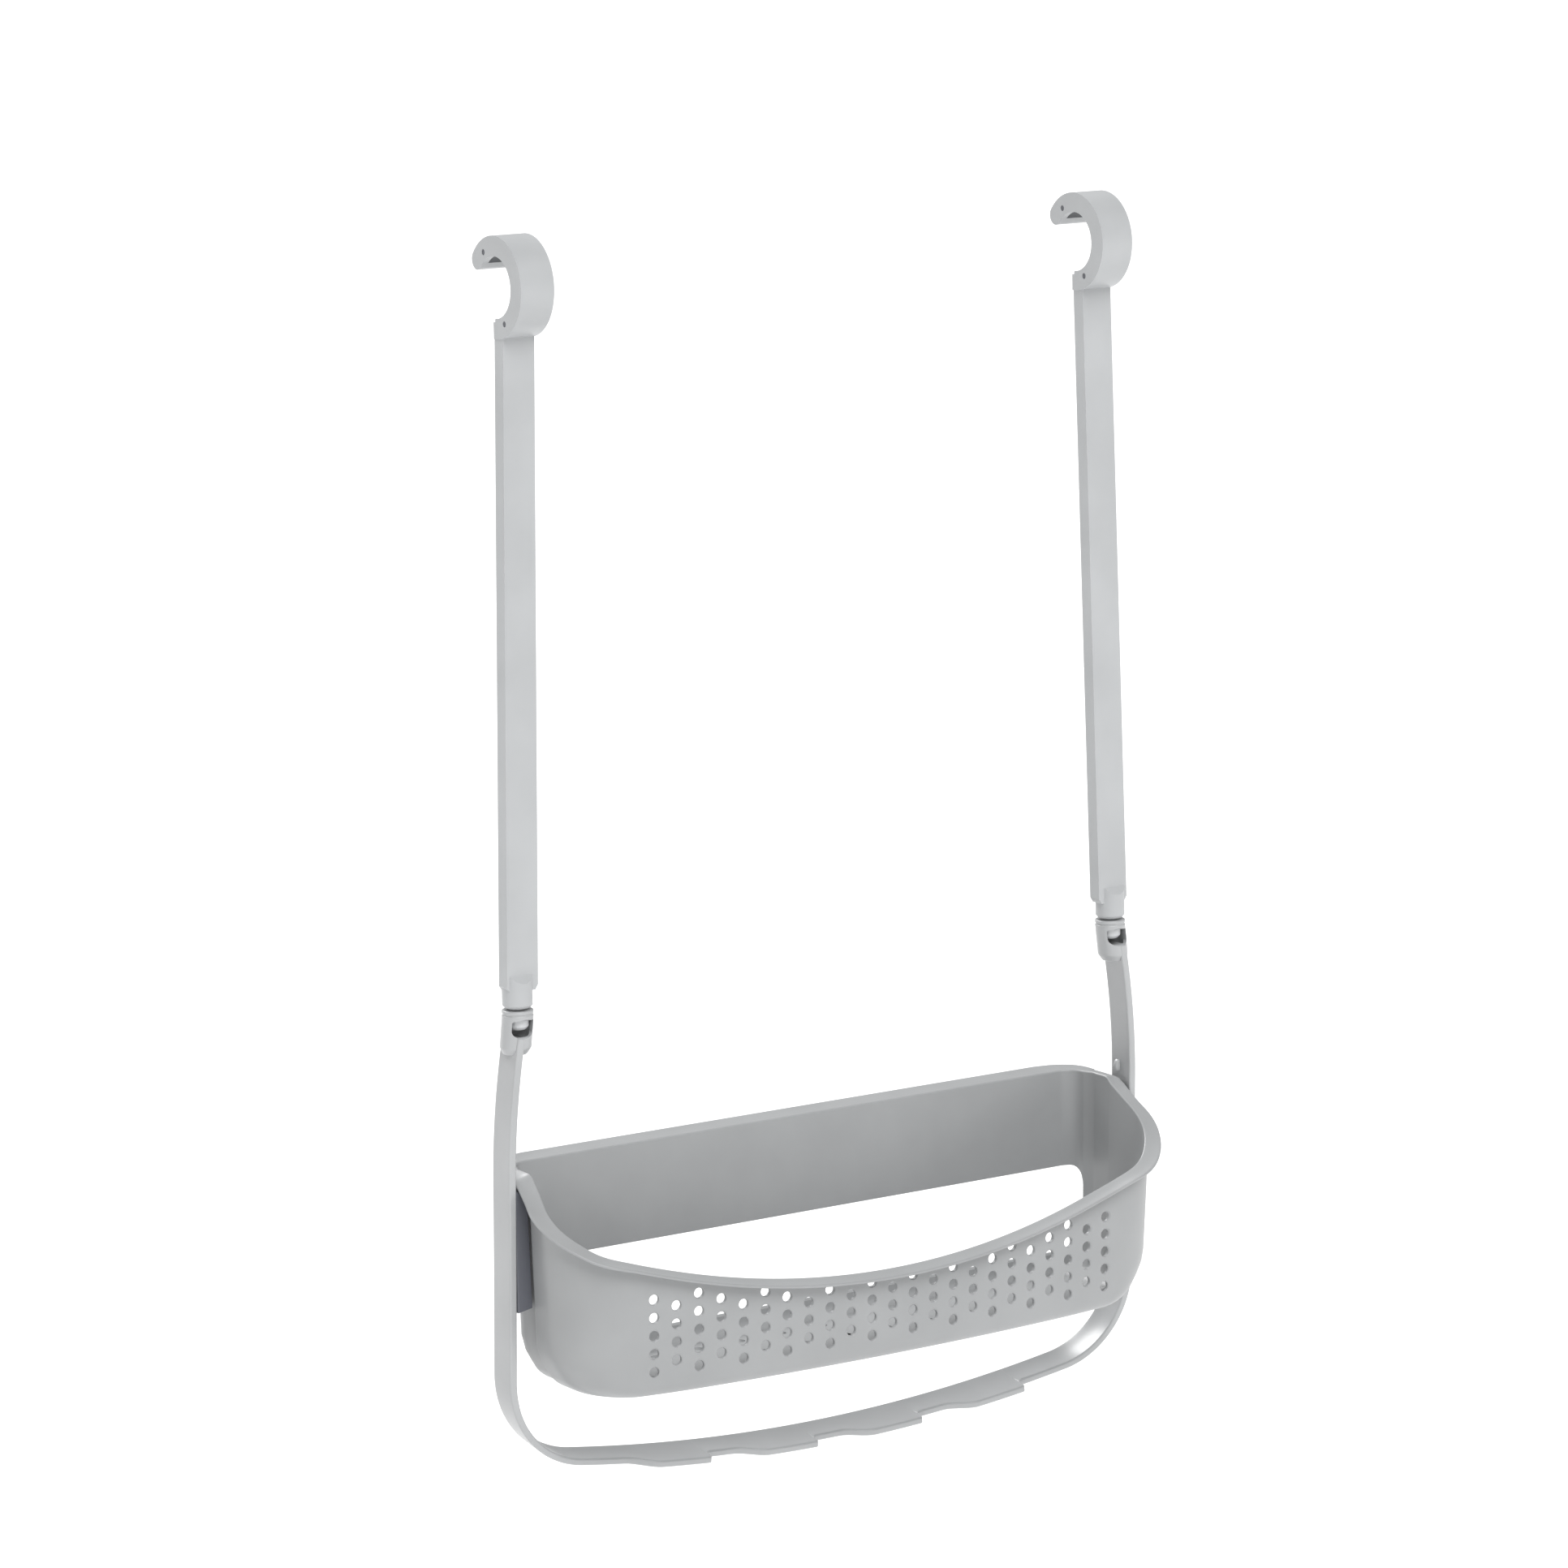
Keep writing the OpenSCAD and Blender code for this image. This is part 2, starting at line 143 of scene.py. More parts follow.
SHELL = plastic("shell_plastic", (0.32, 0.327, 0.332), 0.38, grain=0.015)
BAIL = plastic("bail_plastic", (0.40, 0.408, 0.414), 0.33, grain=0.01, coat=0.2)
ARM = plastic("arm_plastic", (0.425, 0.435, 0.443), 0.36, grain=0.012)
# Bracket colour: partly the bracket's own darker plastic, partly painted shade from the rim and strip above
# it, which makes it much darker still.
BRACKET_DARK_AND_PAINTED_SHADE = plastic("bracket_plastic", (0.115, 0.12, 0.14), 0.45, grain=0.06)
PIN = plastic("pin_plastic", (0.55, 0.56, 0.57), 0.31, grain=0.01, coat=0.3)
LINER = plastic("liner_rubber", (0.075, 0.08, 0.085), 0.7, grain=0.12)
DOWEL = plastic("dowel_plastic", (0.13, 0.135, 0.15), 0.5, grain=0.06)

# ---------- mesh helpers ----------

def solid_mesh(name, points, faces):
    """A mesh from points in millimetres, with its faces turned outwards."""
    me = bpy.data.meshes.new(name)
    me.from_pydata([tuple(c * MM for c in p) for p in points], [], faces)
    bm = bmesh.new()
    bm.from_mesh(me)
    bmesh.ops.recalc_face_normals(bm, faces=bm.faces)
    bm.to_mesh(me)
    bm.free()
    return me


def finish_mesh(me, sharp=38):
    """Joins doubled points, turns the faces outwards and smooths all but the sharp edges."""
    bm = bmesh.new()
    bm.from_mesh(me)
    bmesh.ops.remove_doubles(bm, verts=bm.verts, dist=1e-6)
    bmesh.ops.recalc_face_normals(bm, faces=bm.faces)
    bm.to_mesh(me)
    bm.free()
    me.shade_smooth()
    me.set_sharp_from_angle(angle=math.radians(sharp))


def piece(name, me, mat):
    me.materials.clear()
    me.materials.append(mat)
    ob = bpy.data.objects.new(name, me)
    bpy.context.scene.collection.objects.link(ob)
    return ob


def loft_mesh(name, loops):
    """Skins rings of points, all with the same count, and caps the two ends."""
    n = len(loops[0])
    verts = [tuple(c * MM for c in p) for loop in loops for p in loop]
    faces = []
    rings = len(loops)
    for i in range(rings - 1):
        a, b = i * n, (i + 1) * n
        for k in range(n):
            j = (k + 1) % n
            faces.append((a + k, a + j, b + j, b + k))
    faces.append(tuple(range(n)))
    faces.append(tuple((rings - 1) * n + k for k in reversed(range(n))))
    me = bpy.data.meshes.new(name)
    me.from_pydata(verts, [], faces)
    me.validate()
    return me


def evaluated(ob, name):
    """The mesh that ob's modifiers give, as a new mesh."""
    bpy.context.view_layer.update()
    graph = bpy.context.evaluated_depsgraph_get()
    me = bpy.data.meshes.new_from_object(ob.evaluated_get(graph), depsgraph=graph)
    me.name = name
    return me


def cut(name, me, cutter_mesh):
    """The mesh with the cutter taken away."""
    ob = bpy.data.objects.new(name, me)
    tool = bpy.data.objects.new(name + "_tool", cutter_mesh)
    for o in (ob, tool):
        bpy.context.scene.collection.objects.link(o)
    mod = ob.modifiers.new("cut", "BOOLEAN")
    mod.operation = "DIFFERENCE"
    mod.solver = "EXACT"
    mod.object = tool
    out = evaluated(ob, name)
    bpy.data.objects.remove(ob)
    bpy.data.objects.remove(tool)
    return out


def soften(name, me, width, segments=3, angle=32, sharp=38):
    """A mesh with its crisp edges rounded over, as a mould leaves them."""
    bm = bmesh.new()
    bm.from_mesh(me)
    bmesh.ops.remove_doubles(bm, verts=bm.verts, dist=2e-6)
    bmesh.ops.dissolve_limit(bm, angle_limit=math.radians(0.8), verts=bm.verts, edges=bm.edges)
    bm.to_mesh(me)
    bm.free()
    ob = bpy.data.objects.new(name, me)
    bpy.context.scene.collection.objects.link(ob)
    mod = ob.modifiers.new("round", "BEVEL")
    mod.width = width * MM
    mod.segments = segments
    mod.limit_method = "ANGLE"
    mod.angle_limit = math.radians(angle)
    mod.use_clamp_overlap = True
    out = evaluated(ob, name)
    bpy.data.objects.remove(ob)
    out.shade_smooth()
    out.set_sharp_from_angle(angle=math.radians(sharp))
    return out


def weighted(ob):
    """Adds area-weighted normals, which keep the flat faces flat beside small rounds."""
    mod = ob.modifiers.new("normals", "WEIGHTED_NORMAL")
    mod.keep_sharp = True
    mod.weight = 60
    return ob


def place(ob, body, slot, *nodes):
    """Fixes a piece to its body and says which CAD nodes it stands for; the finish passed as slot is not
    used.
    """
    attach(ob, body)
    if nodes:
        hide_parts(*nodes)
    return ob


# ---------- basket ----------

KINK_Y = -0.5          # where the rim starts to fall towards the front
RIM_SLOPE = 0.72
KINK_LENGTH = 4.0      # the slope sets in over this length
DIP_Z = -441.6         # lowest point of the front rim
DIP_R = 411.0
DIP_Y = -38.0          # the dip takes over from the slope in front of this
DIP_BLEND = 2.0        # rounds the crease between slope and dip
CORNER_FLARE = 2.6     # how much wider the front corners are at the rim than at the foot
CHANNEL = 2.2          # recess of the side wall behind the brackets
CHANNEL_END_Y = 5.0
BACK_CORNER_R = 11.0
BACK_STEP = 4.0        # the back corners start this far inside the side walls
BACK_CORNER_START = math.radians(8)

# Depths of the points along a side wall, closest at the step into the channel
SIDE_STATIONS = (-16.5, -15, -13.5, -12, -11, -10, -9.2, -8.6, -8.3, -8.05, -7.8, -7.5, -7.2, -6.8,
                 -6, -5, -3, -1, 1, 3, 5, 8)


def rim_height(x, y):
    """Height of the rim: level at the back, sloping down the sides, dished along the front."""
    t = KINK_Y - y
    if t <= 0:
        return RIM_Z
    fall = t * t / (2 * KINK_LENGTH) if t < KINK_LENGTH else t - KINK_LENGTH / 2
    slope = RIM_Z - RIM_SLOPE * fall
    dip = DIP_Z + DIP_R - math.sqrt(DIP_R ** 2 - x * x)
    h = clamp(0.5 + 0.5 * (dip - slope) / DIP_BLEND)
    lower = dip + (slope - dip) * h - DIP_BLEND * h * (1 - h)
    return slope + (lower - slope) * smooth((DIP_Y - y) / 8.0)


def channel_fade(y):
    """0 towards the front and 1 towards the back, changing over the brackets' depth."""
    return smooth((y + CHANNEL_END_Y) / (2 * CHANNEL_END_Y))


def right_half():
    """Wall outline from the middle of the front to the middle of the back, as (x, y)."""
    pts = []
    n = 52
    for i in range(n + 1):
        a = -math.pi / 2 + FRONT_END * i / n
        pts.append((FRONT_R * math.cos(a), FRONT_C + FRONT_R * math.sin(a)))
    n = 26
    for i in range(1, n + 1):
        a = -math.pi / 2 + FRONT_END + (math.pi / 2 - FRONT_END) * i / n
        pts.append((FRONT_CX + FRONT_CORNER_R * math.cos(a), CORNER_Y + FRONT_CORNER_R * math.sin(a)))
    for y in SIDE_STATIONS:
        pts.append((BASKET_X - CHANNEL * channel_fade(y), y))
    r = BACK_CORNER_R
    cx = BASKET_X - BACK_STEP - r
    n = 16
    for i in range(n + 1):
        a = BACK_CORNER_START + (math.pi / 2 - BACK_CORNER_START) * i / n
        pts.append((cx + r * math.cos(a), BACK_Y - r + r * math.sin(a)))
    n = 26
    for i in range(1, n + 1):
        pts.append((cx * (1 - i / n), BACK_Y))
    return pts


def recess(y):
    """Depth of the channel that the bail strip and its bracket sit in."""
    if y > CHANNEL_END_Y:
        return 0.0
    return CHANNEL * smooth((y + 8.5) / 1.5) * (1 - channel_fade(y))


def inner_recess(y):
    """The same step seen inside, drawn out into a soft bend."""
    if y > CHANNEL_END_Y:
        return 0.0
    return CHANNEL * clamp((y + 30) / 25) * (1 - channel_fade(y))


def outline():
    """The whole wall outline as (x, y, outward normal's x, its y)."""
    half = right_half()
    full = half + [(-x, y) for x, y in reversed(half[1:-1])]
    out = []
    n = len(full)
    for i, (x, y) in enumerate(full):
        (x0, y0), (x1, y1) = full[i - 1], full[(i + 1) % n]
        nx, ny = y1 - y0, -(x1 - x0)
        length = math.hypot(nx, ny)
        out.append((x, y, nx / length, ny / length))
    return out


FLANGE_W = 4.5
BACK_FLANGE_W = 11.0
FLANGE_DROOP = 1.7
BACK_FLANGE_RISE = 0.4


def flange(x, y):
    """Width of the rim flange beyond the wall, and how far its edge droops."""
    ax = abs(x)
    width = FLANGE_W + 0.6 * smooth((ax - 120) / 30) * smooth((-y - 12) / 10)
    if y > -9:
        width = FLANGE_W + CHANNEL * channel_fade(y)
    back = smooth((y - 6) / 14)
    width = width + (BACK_FLANGE_W - width) * back * smooth((156 - ax) / 18)
    droop = FLANGE_DROOP * (1 - back) - BACK_FLANGE_RISE * back
    return width, droop


def drawn_in(x, z):
    """x moved towards the middle where the side walls draw in above the floor."""
    t = clamp((FLOOR_Z + SIDE_FOOT_H - z) / SIDE_FOOT_H)
    return x - math.copysign(SIDE_FOOT_IN * t ** 1.5 * smooth((abs(x) - 95) / 55), x)


def corner_flare(x, y):
    """How far the rim of a front corner stands out beyond its foot."""
    return CORNER_FLARE * smooth((abs(x) - 105) / 40) * smooth((-y - 4) / 24)


RIM_T = 1.7            # thickness of the rim flange at the wall
RIM_EDGE_R = 0.75      # round outer edge of the flange
UNDER_R = 0.3          # fillet under the flange
LIP_R = 0.8            # round inner edge of the rim
FLOOR_T = 2.2


def wall_profile(x, y, zr, width, droop):
    """Cross-section of wall, rim and foot: (distance out from the wall's outer face, height)."""
    flare = corner_flare(x, y)
    dent_out, dent_in = recess(y), inner_recess(y)

    def off(z, dent=dent_out):
        t = height_share(z)
        return flare * (1 - t) - DRAFT * t - dent

    def off_in(z):
        return off(z, dent_in)

    width = width + flare * (1 - (RIM_Z - zr) / (RIM_Z - FLOOR_Z))
    z0 = FLOOR_Z + FOOT_H
    pts = []
    for k in range(10):
        a = math.pi / 2 * k / 9
        pts.append((off(z0) - FOOT_IN * (1 - math.sin(a)), z0 - FOOT_H * math.cos(a)))
    z1 = zr - RIM_T - UNDER_R
    for k in range(1, 13):
        z = z0 + (z1 - z0) * k / 12
        pts.append((off(z), z))
    base = off(z1)
    for k in range(1, 4):
        a = math.pi / 2 * k / 3
        pts.append((base - 0.35 + UNDER_R * (1 - math.cos(a)), z1 + UNDER_R * math.sin(a)))
    out_z = zr - droop
    edge = RIM_EDGE_R
    for k in (1, 2, 3):
        t = k / 4
        z_under = zr - RIM_T + (out_z - 2 * edge - (zr - RIM_T)) * t
        pts.append((base + (width - edge - base) * t, z_under))
    cx, cz = width - edge, out_z - edge
    for k in range(9):
        a = -math.pi / 2 + math.pi * k / 8
        pts.append((cx + edge * math.cos(a), cz + edge * math.sin(a)))
    inner = off_in(zr) - WALL_T
    lip = LIP_R
    for k in (1, 2, 3, 4, 5):
        t = k / 6
        pts.append((cx + (inner + lip - cx) * t, out_z + (zr - out_z) * t - 0.3 * math.sin(math.pi * t)))
    for k in range(6):
        a = math.pi / 2 + math.pi / 2 * k / 5
        pts.append((inner + lip + lip * math.cos(a), zr - lip + lip * math.sin(a)))
    rise = FOOT_H - 2.0
    run = FOOT_IN - 1.0
    zi = FLOOR_Z + FLOOR_T + rise
    za = zr - lip
    for k in range(1, 15):
        z = za + (zi - za) * k / 14
        pts.append((off_in(z) - WALL_T, z))
    b = off_in(zi) - WALL_T
    for k in range(1, 7):
        a = math.pi / 2 * k / 6
        pts.append((b - run * (1 - math.cos(a)), zi - rise * math.sin(a)))
    return pts


def basket_body():
    """The walls, rim and floor as one closed solid, without its holes."""
    loops = []
    for x, y, nx, ny in outline():
        width, droop = flange(x, y)
        loops.append([(drawn_in(x + o * nx, z), y + o * ny, z)
                      for o, z in wall_profile(x, y, rim_height(x, y), width, droop)])
    n = len(loops[0])
    points = [p for loop in loops for p in loop]
    faces = []
    m = len(loops)
    for i in range(m):
        a, b = i * n, (i + 1) % m * n
        for k in range(n - 1):
            faces.append((a + k, b + k, b + k + 1, a + k + 1))
    faces.append(tuple(i * n for i in reversed(range(m))))
    faces.append(tuple(i * n + n - 1 for i in range(m)))
    return solid_mesh("basket", points, faces)


def lathe_rows(centre, axis, rows, segments, points, faces):
    """Adds a closed solid of revolution; rows are (distance along axis, radius)."""
    axis = Vector(axis).normalized()
    side = axis.orthogonal().normalized()
    other = axis.cross(side)
    start = len(points)
    for d, r in rows:
        for k in range(segments):
            a = 2 * math.pi * k / segments
            points.append(Vector(centre) + axis * d + side * (r * math.cos(a)) + other * (r * math.sin(a)))
    for i in range(len(rows) - 1):
        for k in range(segments):
            j = (k + 1) % segments
            a = start + i * segments
            b = a + segments
            faces.append((a + k, a + j, b + j, b + k))
    faces.append(tuple(start + k for k in reversed(range(segments))))
    faces.append(tuple(start + (len(rows) - 1) * segments + k for k in range(segments)))


# Holes in each column of the front wall, from the middle column outwards
HOLE_COUNTS = (3, 4, 3, 4, 3, 4, 4, 4, 4, 5, 4, 5)
HOLE_R = 2.25
HOLE_LIP = 0.65
HOLE_LOW_Z = -470.6
HOLE_STAGGER = 4.1
HOLE_ROW_STEP = 8.2
DRAIN_R = 2.5
DRAIN_STEP = 22
DRAIN_ROWS = (-36, -16, 4)
WINDOW_LOW_Z, WINDOW_HIGH_Z = -471.0, -430.5
WINDOW_CORNER_R = 9.0
WINDOW_CORNER_STEPS = (0.0, 0.15, 0.5, 1.1, 2.0, 3.2, 5.0, 7.0)
# The window's edge across the wall, as (distance out from the outer face, how far it opens)
WINDOW_EDGE = ((4.0, 0.7), (0.0, 0.7), (-0.27, 0.27), (-0.7, 0.0), (-1.3, 0.0), (-1.73, 0.27),
               (-2.0, 0.7), (-6.0, 0.7))


def front_holes(points, faces):
    """Round holes of the front wall in staggered columns, with rounded lips."""
    wide = HOLE_R + HOLE_LIP
    rows = [(0.3, wide), (0.0, wide)]
    for k in range(1, 6):
        a = math.pi / 2 * k / 5
        rows.append((-HOLE_LIP * (1 - math.cos(a)), HOLE_R + HOLE_LIP * (1 - math.sin(a))))
    rows += [(-WALL_T + HOLE_LIP, HOLE_R), (-WALL_T + 0.15, HOLE_R + 0.15), (-WALL_T, wide),
             (-WALL_T - 0.3, wide)]
    last = len(HOLE_COUNTS) - 1
    for c in range(-last, last + 1):
        lowest = HOLE_LOW_Z + (HOLE_STAGGER if c % 2 == 0 else 0)
        a = -math.pi / 2 + COLUMN_STEP * c
        n = Vector((math.cos(a), math.sin(a), 0))
        for k in range(HOLE_COUNTS[abs(c)]):
            z = lowest + HOLE_ROW_STEP * k
            t = height_share(z)
            o = corner_flare(n.x * FRONT_R, FRONT_C + n.y * FRONT_R) * (1 - t) - DRAFT * t
            centre = (n.x * (FRONT_R + o), FRONT_C + n.y * (FRONT_R + o), z)
            lathe_rows(centre, n, rows, 28, points, faces)


def drain_holes(points, faces):
    """Straight round holes through the floor."""
    rows = [(-3, DRAIN_R), (5, DRAIN_R)]
    for i in range(-5, 6):
        for y in DRAIN_ROWS:
            lathe_rows((DRAIN_STEP * i, y, FLOOR_Z), (0, 0, 1), rows, 24, points, faces)


def back_window(points, faces):
    """The back wall's window, which runs round both corners, with rounded edges and ends."""
    half = [p for p in right_half() if p[1] > BACK_Y - 11.2 and p[0] < BASKET_X - 3.9]
    path = half + [(-x, y) for x, y in reversed(half[:-1])]
    mid = (WINDOW_LOW_Z + WINDOW_HIGH_Z) / 2
    full = (WINDOW_HIGH_Z - WINDOW_LOW_Z) / 2
    run = [0.0]
    for (x0, y0), (x1, y1) in zip(path, path[1:]):
        run.append(run[-1] + math.hypot(x1 - x0, y1 - y0))
    end = run[-1]
    samples = sorted(set(WINDOW_CORNER_STEPS) | {t for t in run if 7.5 < t < end - 7.5}
                     | {end - t for t in WINDOW_CORNER_STEPS})
    face_offset = -DRAFT * height_share(mid)
    loops = []
    for s in samples:
        i = next((k for k in range(len(run) - 1) if run[k + 1] >= s), len(run) - 2)
        (x0, y0), (x1, y1) = path[i], path[i + 1]
        t = (s - run[i]) / max(1e-6, run[i + 1] - run[i])
        x, y = x0 + (x1 - x0) * t, y0 + (y1 - y0) * t
        length = math.hypot(x1 - x0, y1 - y0)
        nx, ny = (y1 - y0) / length, -(x1 - x0) / length
        e = min(s, end - s)
        h = full
        if e < WINDOW_CORNER_R:
            h -= WINDOW_CORNER_R - math.sqrt(max(0.0, WINDOW_CORNER_R ** 2 - (WINDOW_CORNER_R - e) ** 2))
        upper = [(face_offset + d, mid + h + f) for d, f in WINDOW_EDGE]
        lower = [(face_offset + d, mid - h - f) for d, f in reversed(WINDOW_EDGE)]
        loops.append([(x + nx * o, y + ny * o, z) for o, z in upper + lower])
    start = len(points)
    n = len(loops[0])
    points += [p for loop in loops for p in loop]
    for i in range(len(loops) - 1):
        a, b = start + i * n, start + (i + 1) * n
        for k in range(n):
            j = (k + 1) % n
            faces.append((a + k, b + k, b + j, a + j))
    faces.append(tuple(start + k for k in range(n)))
    faces.append(tuple(start + (len(loops) - 1) * n + k for k in reversed(range(n))))


def basket_cutters():
    points, faces = [], []
    front_holes(points, faces)
    drain_holes(points, faces)
    back_window(points, faces)
    return solid_mesh("basket_cutters", points, faces)


basket_mesh = cut("basket_shell", basket_body(), basket_cutters())
finish_mesh(basket_mesh, 50)
basket = weighted(piece("basket_shell", basket_mesh, SHELL))
place(basket, "bail", "shell_plastic", "basket")

# ---------- bail ----------

BAR_CENTRE = BAR_Z + SAG_R
CORNER_X = BAIL_X - CORNER_R
CORNER_Z = BAR_CENTRE - math.sqrt((SAG_R - CORNER_R) ** 2 - CORNER_X ** 2)
CORNER_END = math.atan2(CORNER_Z - BAR_CENTRE, CORNER_X)
LEAN_Z = RIM_Z - 3.0
STRIP_FRONT = MID_Y - STRIP_W / 2
STRIP_BACK = MID_Y + STRIP_W / 2
STRIP_EDGE_R = 0.85
BAR_THINNING = 0.5     # how much thinner the bar is than the strips
BAR_DROOP = 2.4        # how far the bar's front edge droops
BAR_HOLLOW = 0.45      # depth of the faint hollow along the bar's inner face
BAR_BACK = 7.8         # how far the bar lies behind the swivels
LOBES = 4
LOBE_PITCH, LOBE_OUT, LOBE_LEN, LOBE_RISE = 57.0, 6.0, 42.0, 16.0
LOBE_START = 5 - 2 * LOBE_PITCH
LOBE_TIP_R = 1.3       # round tip of each lobe's step
LOBE_ROOT = 3.0        # width of the hollow behind each step
LOBE_ROOT_OUT = 3.2
# Distances from each step at which the bar gets a ring of its own
STEP_STATIONS = (-1.3, -1.15, -0.9, -0.6, -0.3, -0.1, -0.005, 0.005, 0.15, 0.45, 0.9, 1.4, 2.0, 2.6, 3.0)


def strip_x(z):
    """Distance of a strip's outer face from the middle at height z."""
    return BAIL_X - LEAN * (max(0.0, z - LEAN_Z) / (STRIP_TOP - LEAN_Z)) ** 2


def bail_back(z):
    """How far the bail lies behind the swivels: little at the rim, most at the bar."""
    return BAR_BACK * (max(0.0, COLLAR_TOP - z) / (COLLAR_TOP - BAR_Z)) ** 1.6


def lobe(x):
    """How far the bar's front edge stands out at x."""
    for k in range(LOBES):
        t = x - (LOBE_START + k * LOBE_PITCH)
        if 0 <= t <= LOBE_LEN:
            out = LOBE_OUT * smooth(t / LOBE_RISE)
            e = LOBE_LEN - t
            if e < LOBE_TIP_R:
                out -= LOBE_TIP_R - math.sqrt(max(0.0, LOBE_TIP_R ** 2 - (LOBE_TIP_R - e) ** 2))
            return out
        if LOBE_LEN < t <= LOBE_LEN + LOBE_ROOT:
            rise = math.sqrt(max(0.0, LOBE_ROOT ** 2 - (t - LOBE_LEN - LOBE_ROOT) ** 2))
            return LOBE_ROOT_OUT - rise * LOBE_ROOT_OUT / LOBE_ROOT
    return 0.0


def bail_path():
    """(x, z, outward normal) along the bail's outer face, from the left collar to the right one."""
    right = []
    top = STRIP_TOP + 1.5
    for i in range(26):
        z = top - (top - CORNER_Z) * i / 26
        slope = strip_x(z - 0.5) - strip_x(z + 0.5)
        right.append((strip_x(z), z, Vector((1, 0, slope)).normalized()))
    for i in range(31):
        a = CORNER_END * i / 30
        n = Vector((math.cos(a), 0, math.sin(a)))
        right.append((CORNER_X + CORNER_R * n.x, CORNER_Z + CORNER_R * n.z, n))
    end_x = right[-1][0]
    xs = set()
    x = -end_x + 2
    while x < end_x - 1:
        xs.add(round(x, 3))
        x += 2.0
    for k in range(LOBES):
        step = LOBE_START + k * LOBE_PITCH + LOBE_LEN
        for d in STEP_STATIONS:
            xs.add(round(step + d, 4))
    bar = []
    for x in sorted(xs):
        a = math.asin(x / SAG_R)
        n = Vector((math.sin(a), 0, -math.cos(a)))
        bar.append((SAG_R * n.x, BAR_CENTRE + SAG_R * n.z, n))
    left = [(-x, z, Vector((-n.x, 0, n.z))) for x, z, n in right]
    return left + bar + list(reversed(right))


def bail_section(x, z, n):
    """A ring of points round the strip: outer face, rounded edges and a faintly hollow inner face."""
    r = STRIP_EDGE_R
    front = STRIP_FRONT - (lobe(x) if z < CORNER_Z else 0.0)
    back = STRIP_BACK
    t = STRIP_T - BAR_THINNING * smooth((CORNER_Z - z) / 35)
    pts = []

    def corner(y, d, sy, sd):
        """A quarter round at (y, d); sy and sd say which way the corner points."""
        for k in range(6):
            a = math.pi / 2 * k / 5
            if sy * sd > 0:
                a = math.pi / 2 - a
            pts.append((y - sy * r + sy * r * math.cos(a), d - sd * r + sd * r * math.sin(a)))

    # d is measured outwards from the outer face
    corner(front, 0.0, -1, 1)
    for k in (1, 2, 3):
        pts.append((front + r + (back - front - 2 * r) * k / 4, 0.0))
    corner(back, 0.0, 1, 1)
    corner(back, -t, 1, -1)
    for k in range(1, 8):
        w = k / 8
        y = back - r + (front + r - back + r) * w
        hollow = BAR_HOLLOW * math.sin(math.pi * w) * smooth((CORNER_Z + 20 - z) / 40)
        pts.append((y, -t + hollow))
    corner(front, -t, -1, -1)
    ring = []
    for y, d in pts:
        drop = BAR_DROOP * (STRIP_BACK - y) / STRIP_W * smooth((CORNER_Z + 25 - z) / 45)
        ring.append((x + n.x * d, y + bail_back(z), z + n.z * d - drop))
    return ring


bail_mesh = loft_mesh("bail_strip", [bail_section(*p) for p in bail_path()])
finish_mesh(bail_mesh, 50)
bail = place(weighted(piece("bail_strip", bail_mesh, BAIL)), "bail", "shell_plastic", "bail_frame")


def lathe_mesh(name, centre, profile, segments=72):
    """A solid of revolution about Z. The profile of (radius, height) starts and ends on the axis."""
    points, faces, rings = [], [], []
    cx, cy, cz = centre
    for r, z in profile:
        if r < 1e-6:
            rings.append([len(points)])
            points.append((cx, cy, cz + z))
        else:
            rings.append(list(range(len(points), len(points) + segments)))
            for k in range(segments):
                a = 2 * math.pi * k / segments
                points.append((cx + r * math.cos(a), cy + r * math.sin(a), cz + z))
    for a, b in zip(rings, rings[1:]):
        for k in range(segments):
            j = (k + 1) % segments
            quad = [a[k % len(a)], a[j % len(a)], b[j % len(b)], b[k % len(b)]]
            quad = list(dict.fromkeys(quad))
            if len(quad) > 2:
                faces.append(quad)
    return solid_mesh(name, points, faces)


def rounded(points, r, steps=4):
    """A polyline of (radius, height) with its inner corners rounded to r."""
    out = [points[0]]
    for p0, p1, p2 in zip(points, points[1:], points[2:]):
        a, b, c = Vector(p0), Vector(p1), Vector(p2)
        u, v = a - b, c - b
        d = min(r, u.length * 0.45, v.length * 0.45)
        s, e = b + u.normalized() * d, b + v.normalized() * d
        for k in range(steps + 1):
            t = k / steps
            q = s * (1 - t) ** 2 + b * (2 * t * (1 - t)) + e * t ** 2
            out.append((q.x, q.y))
    out.append(points[-1])
    return out


COLLAR_R, COLLAR_H, NECK_H = 6.95, 16.0, 3.2
COLLAR_LEAN = 0.11     # the collar follows the slant of the strip below it
PIN_R = 3.2
FOOT_PLUG = 3.4        # how far the collar's closed end reaches below COLLAR_H
HEAD_ROOM_R, HEAD_ROOM_H = 5.4, 9.6
GROOVE = 0.35          # depth of the fine groove round the collar's top
# The window's cutter, as (depth from the swivel's axis, how much wider than the window)
WINDOW_STEPS = ((-14.0, 0.7), (-COLLAR_R - 0.1, 0.7), (-COLLAR_R + 0.5, 0.25), (-COLLAR_R + 1.1, 0.0),
                (-1.0, 0.0))


def window_shape(grow):
    """The collar's window grown by a margin: square on top, rounded at the foot."""
    w, top, low, r = 5.3 + grow, -NECK_H - 1.0 + grow, -NECK_H - 8.1 - grow, 3.0 + grow
    shape = [(w - 0.6, top), (w, top - 0.6)]
    for cx, start in ((w - r, 0.0), (r - w, -math.pi / 2)):
        for k in range(7):
            a = start - math.pi / 2 * k / 6
            shape.append((cx + r * math.cos(a), low + r + r * math.sin(a)))
    return shape + [(-w, top - 0.6), (0.6 - w, top)]


